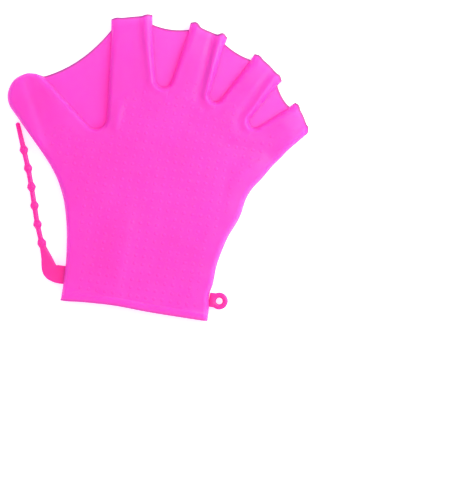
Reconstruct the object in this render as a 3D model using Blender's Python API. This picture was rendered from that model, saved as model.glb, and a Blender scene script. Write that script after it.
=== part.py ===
"""A webbed silicone swim glove for the left hand, lying flat with its palm side up.

Run in Blender 4.5. Metres, +Z up, +X along the cuff's edge from the thumb side to the
little finger's side, +Y from the cuff to the finger ends. The glove's back lies on z = 0.
"""

import math

import bmesh
import bpy
import numpy as np

# Plan sizes of the glove
GLOVE_LENGTH = 0.192  # from the cuff's edge to the end of the middle finger
GLOVE_SPAN = 0.197  # from the thumb's outer side to the little finger's end
CUFF_WIDTH = 0.097  # the cuff lying flat

# Heights above the surface that the glove lies on
CUFF_HEIGHT = 0.0100
PALM_HEIGHT = 0.0130
FINGER_HEIGHT = 0.0100
SEAM_HEIGHT = 0.0036  # middle of the webs and of the parting line

# Thicknesses and rounded folds
WALL = 0.0013
WEB_THICKNESS = 0.0020
PARTING_LINE = 0.0005
FOLD_RADIUS = 0.0046  # inside the palm wall, where it rolls down to the parting line
UNDER_RADIUS = 0.0022  # inside the back wall
CROTCH_RADIUS = 0.0052  # round bottom of the web between index and middle finger
FLUTE_DEPTH = 0.0010  # soft hollow along each finger tube
END_WAVE = 0.0014  # two soft ears on each open finger end
ROLL_HEIGHT = 0.0005  # raised roll along the edge of each web
ROLL_REACH = 0.0032  # from the web's edge to the top of the roll
ROLL_WIDTH = 0.0018
CUFF_BEAD_HEIGHT = 0.0006
CUFF_BEAD_WIDTH = 0.0024

# Strap of beads on the thumb side of the cuff
STRAP_POSITION = 0.0155  # middle of its root, from the cuff's edge
STRAP_WIDTH = 0.0120
STRAP_THICKNESS = 0.0030
CORD_DIAMETER = 0.0033
TAIL_DIAMETER = 0.0028
BEAD_DIAMETER = 0.0057
BEAD_LENGTH = 0.0066
BEAD_COUNT = 6
BEAD_PITCH = 0.0124
FIRST_BEAD = 0.0287  # along the strap, from its root
STRAP_LENGTH = 0.1092

# Eyelet on the little finger's side of the cuff
EYELET_POSITION = 0.0142  # its hole's centre, from the cuff's edge
EYELET_REACH = 0.0062  # its hole's centre, from the glove's side
EYELET_DIAMETER = 0.0112
EYELET_HOLE = 0.0042
EYELET_THICKNESS = 0.0030
EYELET_NECK = 0.0060

JOINT_GAP = 0.0003  # left between the glove and what is moulded onto its sides

# Points of the sides: x as a share of GLOVE_SPAN, y as a share of GLOVE_LENGTH.
# The first point of each side is the cuff's corner.
THUMB_SIDE = (
    (None, 0.0),
    (-0.2462, 0.080),
    (-0.2518, 0.159),
    (-0.2650, 0.249),
    (-0.2832, 0.324),
    (-0.3041, 0.376),
    (-0.3279, 0.417),
    (-0.3670, 0.467),
    (-0.4330, 0.538),
    (-0.4797, 0.586),
    (-0.5142, 0.625),
    (-0.5244, 0.666),
    (-0.5107, 0.711),
    (-0.4751, 0.739),
    (-0.4442, 0.744),
)
THUMB_ROOT = 7  # the point beside the thumb's crotch
THUMB_END = 10  # the point where the round end starts

LITTLE_SIDE = (
    (None, 0.0),
    (0.2437, 0.052),
    (0.2381, 0.089),
    (0.2452, 0.128),
    (0.2477, 0.186),
    (0.2569, 0.240),
    (0.2726, 0.299),
    (0.2899, 0.340),
    (0.3015, 0.376),
    (0.3102, 0.429),
    (0.3254, 0.468),
    (0.3520, 0.512),
    (0.3761, 0.557),
    (0.4010, 0.590),
    (0.4239, 0.620),
    (0.4706, 0.674),
    (0.4772, 0.692),
)
LITTLE_ROOT = 13

# Webs, from the thumb to the little finger: centre of the round crotch (x, y), its
# radius as a share of CROTCH_RADIUS, lean of its two flanks in degrees from +Y to +X,
# length of each flank to the finger's end, length of each flank to the web's free edge,
# and how far that edge sags. Lengths are shares of GLOVE_LENGTH.
WEBS = (
    (-0.2223, 0.6255, 1.37, -51.5, -5.6, 0.226, 0.339, 0.226, 0.305, 0.0240),
    (-0.0195, 0.7901, 1.00, -12.9, 10.2, 0.223, 0.213, 0.191, 0.190, 0.0090),
    (0.1594, 0.7615, 0.74, 6.9, 28.9, 0.202, 0.194, 0.180, 0.171, 0.0055),
    (0.3010, 0.6938, 0.70, 29.4, 49.3, 0.167, 0.152, 0.147, 0.128, 0.0065),
)

# Fingers: where each starts and ends along the cuff, as shares of CUFF_WIDTH, how far
# its open end bulges, as a share of GLOVE_LENGTH, how strong its flute is, and how
# strongly its end waves.
FINGERS = (
    ("thumb", -0.500, -0.330, 0.000, 0.0, 0.0),
    ("index", -0.295, -0.115, 0.004, 0.6, 0.4),
    ("middle", -0.080, 0.080, -0.007, 1.0, 1.0),
    ("ring", 0.115, 0.275, 0.010, 0.7, 0.5),
    ("little", 0.310, 0.500, 0.009, 0.7, 0.5),
)

# Columns of the skin across a finger and across a web, and its rows from the cuff to
# the crotches and from there to the finger ends, each from 0 to 1.
ACROSS_FINGER = (0.0, 0.03, 0.13, 0.34, 0.64, 0.87, 0.97, 1.0)
ACROSS_WEB = (0.08, 0.27, 0.5, 0.73, 0.92)
PALM_ROWS = (0.0, 0.006, 0.015, 0.024, 0.1, 0.22, 0.36, 0.5, 0.64, 0.77, 0.87, 0.94, 0.975, 0.993, 1.0)
FINGER_ROWS = (0.12, 0.32, 0.56, 0.78, 0.91, 0.97, 1.0)

# Route of the strap in plan, from the middle of its root at the glove's side, as shares
# of STRAP_LENGTH
STRAP_ROUTE = (
    (0.0, 0.0),
    (-0.0495, 0.0010),
    (-0.0888, 0.0183),
    (-0.1200, 0.0842),
    (-0.1639, 0.1722),
    (-0.2070, 0.2811),
    (-0.2427, 0.3919),
    (-0.2775, 0.4991),
    (-0.3141, 0.6035),
    (-0.3553, 0.7070),
    (-0.4212, 0.8654),
    (-0.4900, 1.0300),
)


# Curves in plan

def smooth_path(points, steps=10):
    """A Catmull-Rom curve through the points, with `steps` pieces between two of them."""
    points = np.array(points, dtype=float)
    ends = np.vstack([2 * points[0] - points[1], points, 2 * points[-1] - points[-2]])
    t = (np.arange(steps) / steps)[:, None]
    pieces = []
    for a, b, c, d in zip(ends, ends[1:], ends[2:], ends[3:]):
        pieces.append(
            0.5 * (2 * b + (c - a) * t + (2 * a - 5 * b + 4 * c - d) * t**2 + (3 * b - a - 3 * c + d) * t**3)
        )
    return np.vstack(pieces + [points[-1:]])


def along(path, shares):
    """Points of a path at shares of its length."""
    lengths = np.concatenate([[0.0], np.cumsum(np.linalg.norm(np.diff(path, axis=0), axis=1))])
    at = np.asarray(shares) * lengths[-1]
    return np.stack([np.interp(at, lengths, path[:, 0]), np.interp(at, lengths, path[:, 1])], axis=-1)


def unit(vectors):
    return vectors / np.linalg.norm(vectors, axis=-1, keepdims=True)


def leaning(degrees):
    """The direction that leans from +Y towards +X."""
    angle = math.radians(degrees)
    return np.array([math.sin(angle), math.cos(angle)])


def turned_left(vectors):
    return np.stack([-vectors[..., 1], vectors[..., 0]], axis=-1)


def side_path(table, corner):
    """A side of the glove, from the cuff's corner."""
    points = [(corner, 0.0)]
    points += [(x * GLOVE_SPAN, y * GLOVE_LENGTH) for x, y in table[1:]]
    return smooth_path(points)


def moved_in(path, inset, inward, last=None):
    """A path moved sideways by `inset`. `inward` is +1 where the glove lies to its left."""
    normals = turned_left(unit(np.gradient(path, axis=0))) * inward
    normals[0] = (-inward, 0.0)
    if last is not None:
        normals[-1] = (normals[-1] + last) / (1 + normals[-1] @ last)
    return path + normals * inset


def web_shape(web, inset):
    """Centre, radius, directions and starts of the two flanks of a web's round crotch."""
    x, y, share, lean_left, lean_right = web[:5]
    centre = np.array([x * GLOVE_SPAN, y * GLOVE_LENGTH])
    radius = share * CROTCH_RADIUS + inset
    left, right = leaning(lean_left), leaning(lean_right)
    away_left, away_right = turned_left(left), -turned_left(right)
    return centre, radius, (left, right), (away_left, away_right)


def outlines(inset):
    """The two sides of the glove, moved in by the inset."""
    away = web_shape(WEBS[0], 0.0)[3][0]
    thumb = moved_in(side_path(THUMB_SIDE, -CUFF_WIDTH / 2), inset, -1, last=away)
    little = moved_in(side_path(LITTLE_SIDE, CUFF_WIDTH / 2), inset, 1)
    return thumb, little


def palm_run(x, end, lean):
    """A column from the cuff's edge at x up to a flank, which it meets near its lean."""
    t = np.array(PALM_ROWS)[:, None]
    start = np.array([x, 0.0])
    length = np.linalg.norm(end - start)
    first, second = start + (0.0, 0.3 * length), end - leaning(lean) * 0.13 * length
    return (1 - t) ** 3 * start + 3 * (1 - t) ** 2 * t * first + 3 * (1 - t) * t**2 * second + t**3 * end


def finger_borders(inset):
    """For each finger its left and right border, as rows of points from cuff to end."""
    thumb_side, little_side = outlines(inset)
    rows = np.array(FINGER_ROWS)
    borders = []
    for k, finger in enumerate(FINGERS):
        pair = []
        for side in (0, 1):
            if k == 0 and side == 0:
                palm = along(thumb_side[: THUMB_ROOT * 10 + 1], PALM_ROWS)
                tube = along(thumb_side[THUMB_ROOT * 10 : THUMB_END * 10 + 1], rows)
            elif k == len(FINGERS) - 1 and side == 1:
                palm = along(little_side[: LITTLE_ROOT * 10 + 1], PALM_ROWS)
                tube = along(little_side[LITTLE_ROOT * 10 :], rows)
            else:
                web = WEBS[k - 1 + side]
                centre, radius, ahead, away = web_shape(web, inset)
                start = centre + away[1 - side] * radius
                length = web[5 + 1 - side] * GLOVE_LENGTH
                x = finger[1 + side] * CUFF_WIDTH
                palm = palm_run(x + inset * (1 - 2 * side), start, web[4 - side])
                tube = start + ahead[1 - side] * rows[:, None] * length
                if k == 0:
                    tube = start + (thumb_side[-1] - start) * rows[:, None]
            pair.append(np.vstack([palm, tube]))
        borders.append(pair)
    return borders, thumb_side, little_side


def skin_plan(inset):
    """Plan positions of the skin's rows and columns, as an array rows x columns x 2."""
    borders, thumb_side, little_side = finger_borders(inset)
    palm_count = len(PALM_ROWS)
    rows = np.concatenate([np.zeros(palm_count), FINGER_ROWS])[:, None]
    columns = []
    for k, (left, right) in enumerate(borders):
        axis = unit(left[-1] + right[-1] - left[palm_count - 1] - right[palm_count - 1])
        for f in ACROSS_FINGER:
            chord = (1 - f) * left[-1] + f * right[-1]
            if k == 0:
                end = along(thumb_side[THUMB_END * 10 :], [f])[0]
            else:
                ears = np.exp(-(((f - 0.14) / 0.09) ** 2)) + np.exp(-(((f - 0.87) / 0.08) ** 2))
                bulge = FINGERS[k][3] * GLOVE_LENGTH * 4 * f * (1 - f)
                end = chord + axis * (bulge + END_WAVE * FINGERS[k][5] * ears)
            columns.append((1 - f) * left + f * right + rows**2 * (end - chord))
        if k == len(WEBS):
            break
        web = WEBS[k]
        centre, radius, ahead, away = web_shape(web, inset)
        first = right
        second = borders[k + 1][0]
        edge_left = centre + away[0] * radius + ahead[0] * web[7] * GLOVE_LENGTH
        edge_right = centre + away[1] * radius + ahead[1] * web[8] * GLOVE_LENGTH
        sag = unit(ahead[0] + ahead[1]) * web[9] * GLOVE_LENGTH
        sweep = math.pi - math.radians(web[4] - web[3])
        below = np.linalg.norm(first[:palm_count] - first[palm_count - 1], axis=1)[:, None]
        for g in ACROSS_WEB:
            turn = math.atan2(away[0][1], away[0][0]) + g * sweep
            foot = centre + radius * np.array([math.cos(turn), math.sin(turn)])
            edge = (1 - g) * edge_left + g * edge_right - sag * 4 * g * (1 - g)
            base = (1 - g) * first[:palm_count] + g * second[:palm_count]
            palm = base + (foot - base[-1]) * np.exp(-below / (2.5 * radius))
            tube = foot + (edge - foot) * np.array(FINGER_ROWS)[:, None]
            columns.append(np.vstack([palm, tube]))
    return np.stack(columns, axis=1), thumb_side, little_side


# Heights of the skin

def distance_to_path(points, path):
    """Distance of each point to a polyline."""
    a, b = path[:-1], path[1:]
    run = b - a
    t = np.einsum("...sk,sk->...s", points[..., None, :] - a, run) / np.einsum("sk,sk->s", run, run)
    nearest = a + np.clip(t, 0, 1)[..., None] * run
    return np.linalg.norm(points[..., None, :] - nearest, axis=-1).min(axis=-1)


def distance_to_web(points, web, inset):
    """Distance to a web: to its wedge between two flanks, less the crotch's radius."""
    centre, radius, ahead, away = web_shape(web, inset)
    off = points - centre
    gaps = []
    for direction in ahead:
        t = np.maximum(off @ direction, 0.0)
        gaps.append(np.linalg.norm(off - t[..., None] * direction, axis=-1))
    inside = (off @ away[0] <= 0) & (off @ away[1] <= 0)
    return np.where(inside, 0.0, np.maximum(np.minimum(*gaps) - radius, 0.0))


def eased(t):
    t = np.clip(t, 0.0, 1.0)
    return t * t * (3 - 2 * t)


def quarter_round(distance, radius):
    """Rises as a quarter circle from 0 to 1 over the radius."""
    t = np.clip(distance / radius, 0.0, 1.0)
    return np.sqrt(1 - (1 - t) ** 2)


def stations():
    """How far each row is from the cuff: 0 at the cuff, 1 at the crotches, 2 at the ends."""
    return np.concatenate([PALM_ROWS, 1 + np.array(FINGER_ROWS)])


def shares_across():
    """For each column, its share across its finger and that finger's flute strength."""
    across, flute = [], []
    for k, finger in enumerate(FINGERS):
        across += ACROSS_FINGER
        flute += [finger[4]] * len(ACROSS_FINGER)
        if k < len(WEBS):
            across += [0.5] * len(ACROSS_WEB)
            flute += [0.0] * len(ACROSS_WEB)
    return np.array(across), np.array(flute)


def skin_heights(plan, thumb_side, little_side, inset):
    """Top and bottom height of the outer skin, or of the hollow where inset is WALL."""
    to_web = np.min([distance_to_web(plan, web, inset) for web in WEBS], axis=0)
    to_side = np.minimum(distance_to_path(plan, thumb_side), distance_to_path(plan, little_side))
    edge = np.minimum(to_web, to_side)

    s = stations()[:, None]
    crown = CUFF_HEIGHT + (PALM_HEIGHT - CUFF_HEIGHT) * eased(s / 0.45)
    crown = crown + (FINGER_HEIGHT - crown) * eased((s - 0.6) / 0.7)
    across, flute = shares_across()
    hollow = np.exp(-(((across - 0.64) / 0.13) ** 2)) - 0.6 * np.exp(-(((across - 0.88) / 0.07) ** 2))
    relief = -FLUTE_DEPTH * flute * hollow * eased((s - 0.85) / 0.5)
    roll = np.exp(-(((to_web + inset - ROLL_REACH) / ROLL_WIDTH) ** 2)) * eased((s - 0.6) / 0.3)
    relief = relief + ROLL_HEIGHT * roll
    y = plan[..., 1]
    bead = CUFF_BEAD_HEIGHT * np.sin(math.pi * np.clip(y / CUFF_BEAD_WIDTH, 0, 1)) if inset == 0 else 0.0

    web_share = to_side / (to_side + to_web + 1e-9)
    if inset == 0:
        half = (PARTING_LINE + (WEB_THICKNESS - PARTING_LINE) * web_share) / 2
    else:
        half = 0.0
    low = SEAM_HEIGHT + half
    top = low + (crown + relief - inset - low) * quarter_round(edge, FOLD_RADIUS + WALL - inset) + bead
    under = SEAM_HEIGHT - half
    bottom = under + (inset - under) * quarter_round(edge, UNDER_RADIUS + WALL - inset)
    return top, bottom


# Making the glove's skin

def finger_columns():
    """First and last column of each finger."""
    spans = []
    start = 0
    for k in range(len(FINGERS)):
        spans.append((start, start + len(ACROSS_FINGER) - 1))
        start += len(ACROSS_FINGER) + len(ACROSS_WEB)
    return spans


def glove_mesh():
    """One closed skin: outer top and bottom, hollow top and bottom, and the open rims."""
    grids = []
    for inset in (0.0, WALL):
        plan, thumb_side, little_side = skin_plan(inset)
        top, bottom = skin_heights(plan, thumb_side, little_side, inset)
        if inset > 0:
            closed = np.zeros(top.shape, dtype=bool)
            closed[:, 0] = closed[:, -1] = True
            for k, (a, b) in enumerate(finger_columns()):
                closed[len(PALM_ROWS) - 1 :, [a, b]] = True
                if k < len(WEBS):
                    closed[len(PALM_ROWS) - 1 :, b : b + len(ACROSS_WEB) + 2] = True
            closed[-1, : len(ACROSS_FINGER)] = True
            top = np.where(closed, SEAM_HEIGHT, top)
            bottom = np.where(closed, SEAM_HEIGHT, bottom)
        grids.append((plan, top, bottom))

    bm = bmesh.new()

    def corners(plan, z):
        return [
            [bm.verts.new((plan[i, j, 0], plan[i, j, 1], z[i, j])) for j in range(z.shape[1])]
            for i in range(z.shape[0])
        ]

    outer_top, outer_bottom = corners(grids[0][0], grids[0][1]), corners(grids[0][0], grids[0][2])
    inner_top, inner_bottom = corners(grids[1][0], grids[1][1]), corners(grids[1][0], grids[1][2])
    row_count, column_count = grids[0][1].shape
    last = row_count - 1
    hollow_rows = len(PALM_ROWS) - 1
    spans = finger_columns()

    def in_finger(j):
        return any(a <= j < b for a, b in spans)

    for i in range(last):
        for j in range(column_count - 1):
            t, b = outer_top, outer_bottom
            bm.faces.new((t[i][j], t[i][j + 1], t[i + 1][j + 1], t[i + 1][j]))
            bm.faces.new((b[i][j], b[i + 1][j], b[i + 1][j + 1], b[i][j + 1]))
            if in_finger(j) or i < hollow_rows:
                t, b = inner_top, inner_bottom
                bm.faces.new((t[i][j], t[i + 1][j], t[i + 1][j + 1], t[i][j + 1]))
                bm.faces.new((b[i][j], b[i][j + 1], b[i + 1][j + 1], b[i + 1][j]))
        for j, k, m in ((0, i, i + 1), (column_count - 1, i + 1, i)):
            bm.faces.new((outer_top[k][j], outer_top[m][j], outer_bottom[m][j], outer_bottom[k][j]))

    for j in range(column_count - 1):
        bm.faces.new((outer_top[0][j], inner_top[0][j], inner_top[0][j + 1], outer_top[0][j + 1]))
        bm.faces.new((outer_bottom[0][j], outer_bottom[0][j + 1], inner_bottom[0][j + 1], inner_bottom[0][j]))
        if in_finger(j) and j >= spans[1][0]:
            t, b = outer_top[last], outer_bottom[last]
            u, v = inner_top[last], inner_bottom[last]
            bm.faces.new((t[j], t[j + 1], u[j + 1], u[j]))
            bm.faces.new((b[j], v[j], v[j + 1], b[j + 1]))
        else:
            t, b = outer_top[last], outer_bottom[last]
            bm.faces.new((t[j], t[j + 1], b[j + 1], b[j]))

    ends = [(0, 0, 1), (0, column_count - 1, -1)]
    for a, b in spans[1:]:
        ends += [(last, a, -1), (last, b, 1)]
    for i, j, way in ends:
        ring = [outer_top[i][j], outer_bottom[i][j], inner_bottom[i][j], inner_top[i][j]]
        bm.faces.new(ring[::way])

    used = [v for v in bm.verts if not v.link_faces]
    bmesh.ops.delete(bm, geom=used, context="VERTS")
    bmesh.ops.remove_doubles(bm, verts=bm.verts, dist=1e-7)
    bmesh.ops.recalc_face_normals(bm, faces=bm.faces)
    mesh = bpy.data.meshes.new("glove_shell")
    bm.to_mesh(mesh)
    bm.free()
    return mesh


# Strap and eyelet

def side_x(path, y, width=0.0):
    """How far out a side of the glove reaches in a band around y, beside the cuff."""
    part = path[:60]
    band = np.linspace(y - width / 2, y + width / 2, 9)
    reach = np.interp(band, part[:, 1], part[:, 0])
    return float(reach[np.abs(reach).argmax()])


def strap_mesh(root):
    """A flat root that turns along the glove and thins to a cord with beads, in one loft."""
    route = smooth_path(np.array(STRAP_ROUTE) * STRAP_LENGTH + root)
    steps = np.linalg.norm(np.diff(route, axis=0), axis=1)
    lengths = np.concatenate([[0.0], np.cumsum(steps)])
    shares = list(np.linspace(0.0, 0.86, 9) * FIRST_BEAD)
    for bead in range(BEAD_COUNT):
        shares += [FIRST_BEAD + bead * BEAD_PITCH + BEAD_LENGTH * p for p in (-0.5, -0.24, 0.0, 0.24, 0.5)]
    shares = [s for s in shares if s <= STRAP_LENGTH]
    shares += list(np.linspace(shares[-1], STRAP_LENGTH, 4)[1:])
    s = np.array(shares)

    points = along(route, s / lengths[-1])
    ahead = unit(np.gradient(points, axis=0))
    ahead[0] = (-1.0, 0.0)
    beads = FIRST_BEAD + BEAD_PITCH * np.arange(BEAD_COUNT)
    off = np.abs(s[:, None] - beads).min(axis=1)
    swell = (BEAD_DIAMETER - CORD_DIAMETER) * np.clip(1 - 2 * off / BEAD_LENGTH, 0, 1) ** 0.8
    root_share = 1 - eased((s - 0.10 * FIRST_BEAD) / (0.72 * FIRST_BEAD))
    tail_share = eased((s - beads[-1]) / (STRAP_LENGTH - beads[-1]))
    cord = CORD_DIAMETER + (TAIL_DIAMETER - CORD_DIAMETER) * tail_share
    width = cord + (STRAP_WIDTH - cord) * root_share + swell
    height = cord + (STRAP_THICKNESS - cord) * root_share + swell
    middle = SEAM_HEIGHT + (BEAD_DIAMETER / 2 - SEAM_HEIGHT) * eased(s / FIRST_BEAD)
    middle = middle + (TAIL_DIAMETER / 2 - middle) * tail_share

    sides = 10
    turns = 2 * math.pi * (np.arange(sides) + 0.5) / sides
    power = 1 - 0.45 * root_share[:, None]
    across = np.sign(np.cos(turns)) * np.abs(np.cos(turns)) ** power * width[:, None] / 2
    up = np.sign(np.sin(turns)) * np.abs(np.sin(turns)) ** power * height[:, None] / 2
    left = turned_left(ahead)

    bm = bmesh.new()
    rings = []
    for i in range(len(s)):
        ring = []
        for j in range(sides):
            x, y = points[i] + left[i] * across[i, j]
            ring.append(bm.verts.new((x, y, middle[i] + up[i, j])))
        rings.append(ring)
    for a, b in zip(rings, rings[1:]):
        for j in range(sides):
            n = (j + 1) % sides
            bm.faces.new((a[j], a[n], b[n], b[j]))
    bm.faces.new(rings[0])
    bm.faces.new(rings[-1][::-1])
    bmesh.ops.recalc_face_normals(bm, faces=bm.faces)
    mesh = bpy.data.meshes.new("wrist_strap")
    bm.to_mesh(mesh)
    bm.free()
    return mesh


def move_to(obj, collection):
    for other in obj.users_collection:
        other.objects.unlink(obj)
    collection.objects.link(obj)


def cut_or_join(obj, other, operation):
    modifier = obj.modifiers.new(operation.lower(), "BOOLEAN")
    modifier.operation = operation
    modifier.solver = "EXACT"
    modifier.object = other
    other.hide_render = True
    other.display_type = "WIRE"


def make_eyelet(side, parts, tools):
    """A round lug with a hole, on a short neck that meets the glove's side."""
    centre_x = side + EYELET_REACH
    bpy.ops.mesh.primitive_cylinder_add(
        vertices=32,
        radius=EYELET_DIAMETER / 2,
        depth=EYELET_THICKNESS,
        location=(centre_x, EYELET_POSITION, SEAM_HEIGHT),
    )
    lug = bpy.context.object
    lug.name = "strap_eyelet"
    move_to(lug, parts)
    length = EYELET_REACH - JOINT_GAP
    bpy.ops.mesh.primitive_cube_add(
        size=1, location=(side + JOINT_GAP + length / 2, EYELET_POSITION, SEAM_HEIGHT)
    )
    neck = bpy.context.object
    neck.name = "eyelet_neck"
    neck.scale = (length, EYELET_NECK, EYELET_THICKNESS * 0.8)
    bpy.ops.object.transform_apply(location=False, rotation=False, scale=True)
    move_to(neck, tools)
    bpy.ops.mesh.primitive_cylinder_add(
        vertices=24,
        radius=EYELET_HOLE / 2,
        depth=3 * EYELET_THICKNESS,
        location=(centre_x, EYELET_POSITION, SEAM_HEIGHT),
    )
    hole = bpy.context.object
    hole.name = "eyelet_hole"
    move_to(hole, tools)
    cut_or_join(lug, neck, "UNION")
    cut_or_join(lug, hole, "DIFFERENCE")
    return lug, neck, hole


def silicone(name, colour, roughness):
    material = bpy.data.materials.new(name)
    material.use_nodes = True
    shader = material.node_tree.nodes["Principled BSDF"]
    shader.inputs["Base Color"].default_value = (*colour, 1.0)
    shader.inputs["Roughness"].default_value = roughness
    shader.inputs["Metallic"].default_value = 0.0
    material.diffuse_color = (*colour, 1.0)
    return material


def main():
    for obj in list(bpy.data.objects):
        bpy.data.objects.remove(obj, do_unlink=True)
    parts = bpy.data.collections.new("webbed_swim_glove")
    tools = bpy.data.collections.new("cutters")
    bpy.context.scene.collection.children.link(parts)
    bpy.context.scene.collection.children.link(tools)

    shell = bpy.data.objects.new("glove_shell", glove_mesh())
    parts.objects.link(shell)
    shell.data.shade_smooth()
    shell.data.set_sharp_from_angle(angle=math.radians(50))

    thumb_side, little_side = outlines(0.0)
    root = np.array([side_x(thumb_side, STRAP_POSITION, STRAP_WIDTH) - JOINT_GAP, STRAP_POSITION])
    strap = bpy.data.objects.new("wrist_strap", strap_mesh(root))
    parts.objects.link(strap)
    strap.data.shade_smooth()
    strap.data.set_sharp_from_angle(angle=math.radians(50))

    little_edge = side_x(little_side, EYELET_POSITION, EYELET_NECK)
    eyelet, neck, hole = make_eyelet(little_edge, parts, tools)

    shell.data.materials.append(silicone("pink_silicone", (0.98, 0.085, 0.66), 0.42))
    strap.data.materials.append(silicone("strap_silicone", (1.0, 0.045, 0.35), 0.38))
    eyelet.data.materials.append(silicone("eyelet_silicone", (1.0, 0.045, 0.35), 0.38))

    # The origin is below the middle of the whole part
    points = np.array([v.co for obj in (shell, strap) for v in obj.data.vertices])
    right = little_edge + EYELET_REACH + EYELET_DIAMETER / 2
    low, high = points.min(axis=0), points.max(axis=0)
    middle_x = (low[0] + max(high[0], right)) / 2
    middle_y = (low[1] + high[1]) / 2
    frame = bpy.data.objects.new("glove_frame", None)
    parts.objects.link(frame)
    frame.location = (-middle_x, -middle_y, 0.0)
    for obj in (shell, strap, eyelet, neck, hole):
        obj.parent = frame


main()
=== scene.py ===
# %% [markdown]
# A webbed swim glove, moulded in one piece from soft pink silicone, lies on a pale table
# with its palm side up. A beaded strap leaves one side of its cuff and an eyelet stands
# on the other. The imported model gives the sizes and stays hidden. This lesson works out
# the fine surfaces that a camera should see: rounded finger tubes, thin webs, a rolled
# cuff, rows of grip dots, and silicone that light sinks into a little.

# %% Load the fixed frame
import math

import bmesh
import bpy
import numpy as np
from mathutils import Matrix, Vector
from mathutils.bvhtree import BVHTree


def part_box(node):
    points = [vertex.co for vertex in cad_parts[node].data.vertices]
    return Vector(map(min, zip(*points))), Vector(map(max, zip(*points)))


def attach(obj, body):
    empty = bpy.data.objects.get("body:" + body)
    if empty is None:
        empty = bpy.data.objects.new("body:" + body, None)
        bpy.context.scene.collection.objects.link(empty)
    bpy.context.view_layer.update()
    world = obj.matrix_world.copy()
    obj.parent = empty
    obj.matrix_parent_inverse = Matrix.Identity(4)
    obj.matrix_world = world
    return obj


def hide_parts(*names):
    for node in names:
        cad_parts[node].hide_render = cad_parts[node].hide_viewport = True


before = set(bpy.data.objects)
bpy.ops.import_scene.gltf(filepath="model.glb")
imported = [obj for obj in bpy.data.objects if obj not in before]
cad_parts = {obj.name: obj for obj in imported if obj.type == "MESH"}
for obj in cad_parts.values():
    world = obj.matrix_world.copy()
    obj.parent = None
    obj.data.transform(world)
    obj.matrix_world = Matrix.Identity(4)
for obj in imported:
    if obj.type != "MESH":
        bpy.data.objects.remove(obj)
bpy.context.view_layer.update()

# %% [markdown]
# A strong pink has to stay pure. Blender's Standard view shows it as it is, where a
# film-like view would wash it out towards salmon.

# %% Colour view
bpy.context.scene.view_settings.view_transform = "Standard"
bpy.context.scene.view_settings.look = "None"
print("view:", bpy.context.scene.view_settings.view_transform)

# %% [markdown]
# The sizes come first, in metres. The y axis runs from the cuff to the finger ends and
# the x axis from the thumb to the little finger. Points of the outline are shares of the
# span and the length, so the drawing keeps its shape whatever the glove's size.

# %% Sizes of the glove
GLOVE_LENGTH = 0.192
GLOVE_SPAN = 0.197
CUFF_WIDTH = 0.097
CUFF_HEIGHT = 0.0100
PALM_HEIGHT = 0.0130
FINGER_HEIGHT = 0.0100
SEAM_HEIGHT = 0.0036  # middle of the webs and of the parting line
WALL = 0.0013
WEB_THICKNESS = 0.0020
PARTING_LINE = 0.0005
UNDER_RADIUS = 0.0022
CROTCH_RADIUS = 0.0052
STEPS = 10  # pieces of a smooth curve between two of its points

THUMB_SIDE = (
    (-0.2462, 0.080), (-0.2518, 0.159), (-0.2650, 0.249), (-0.2842, 0.324), (-0.3064, 0.376),
    (-0.3302, 0.417), (-0.3693, 0.467), (-0.4345, 0.537), (-0.4797, 0.586), (-0.5142, 0.625),
    (-0.5244, 0.666), (-0.5107, 0.711), (-0.4751, 0.739), (-0.4442, 0.744),
)
LITTLE_SIDE = (
    (0.2437, 0.052), (0.2381, 0.089), (0.2452, 0.128), (0.2477, 0.186), (0.2569, 0.240),
    (0.2726, 0.299), (0.2899, 0.340), (0.3015, 0.376), (0.3102, 0.429), (0.3254, 0.468),
    (0.3539, 0.511), (0.3799, 0.555), (0.4038, 0.588), (0.4252, 0.619), (0.4706, 0.674),
    (0.4772, 0.692),
)
THUMB_ROOT, THUMB_END, LITTLE_ROOT = 7, 10, 13

# Each web: centre x and y, radius of its round bottom as a share of CROTCH_RADIUS, lean
# of its two flanks in degrees, their lengths to the finger ends, their lengths to the
# free edge, and the sag of that edge.
WEBS = (
    (-0.2223, 0.6255, 1.37, -51.5, -5.6, 0.226, 0.339, 0.226, 0.305, 0.0240),
    (-0.0195, 0.7901, 1.00, -12.9, 10.2, 0.223, 0.213, 0.191, 0.190, 0.0090),
    (0.1594, 0.7615, 0.74, 6.9, 28.9, 0.202, 0.194, 0.180, 0.171, 0.0055),
    (0.3010, 0.6938, 0.70, 29.4, 49.3, 0.167, 0.152, 0.147, 0.128, 0.0065),
)
# Each finger: where it starts and ends along the cuff, how far its open end bulges, the
# strength of its flute and the strength of the wave in its end.
FINGERS = {
    "thumb": (-0.500, -0.330, 0.000, 0.0, 0.0),
    "index": (-0.295, -0.115, 0.002, 0.6, 0.3),
    "middle": (-0.080, 0.080, -0.001, 1.0, 1.0),
    "ring": (0.115, 0.275, 0.010, 0.2, 0.5),
    "little": (0.310, 0.500, 0.009, 0.7, 0.5),
}
print(len(FINGERS), "fingers and", len(WEBS), "webs")

# %% [markdown]
# The skin is a fan of columns that start at the cuff and end at the finger ends. Rows and
# columns crowd together, by a cosine, wherever the surface rolls over: at the sides of
# each finger, around the bottoms of the webs, and at the finger ends.

# %% Rows and columns of the fan
def crowded(reach, count):
    """Shares reach * (1 - cos a) for a from 0 to a quarter turn, dense near 0."""
    return reach * (1 - np.cos(np.linspace(0, math.pi / 2, count)))


# Cuff bead, palm, and the turn into the webs, as shares of the way to the crotches
PALM_ROWS = np.concatenate([
    np.linspace(0, 0.045, 14), np.linspace(0.058, 0.93, 43), 1 - crowded(0.06, 13)[::-1],
])
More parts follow.
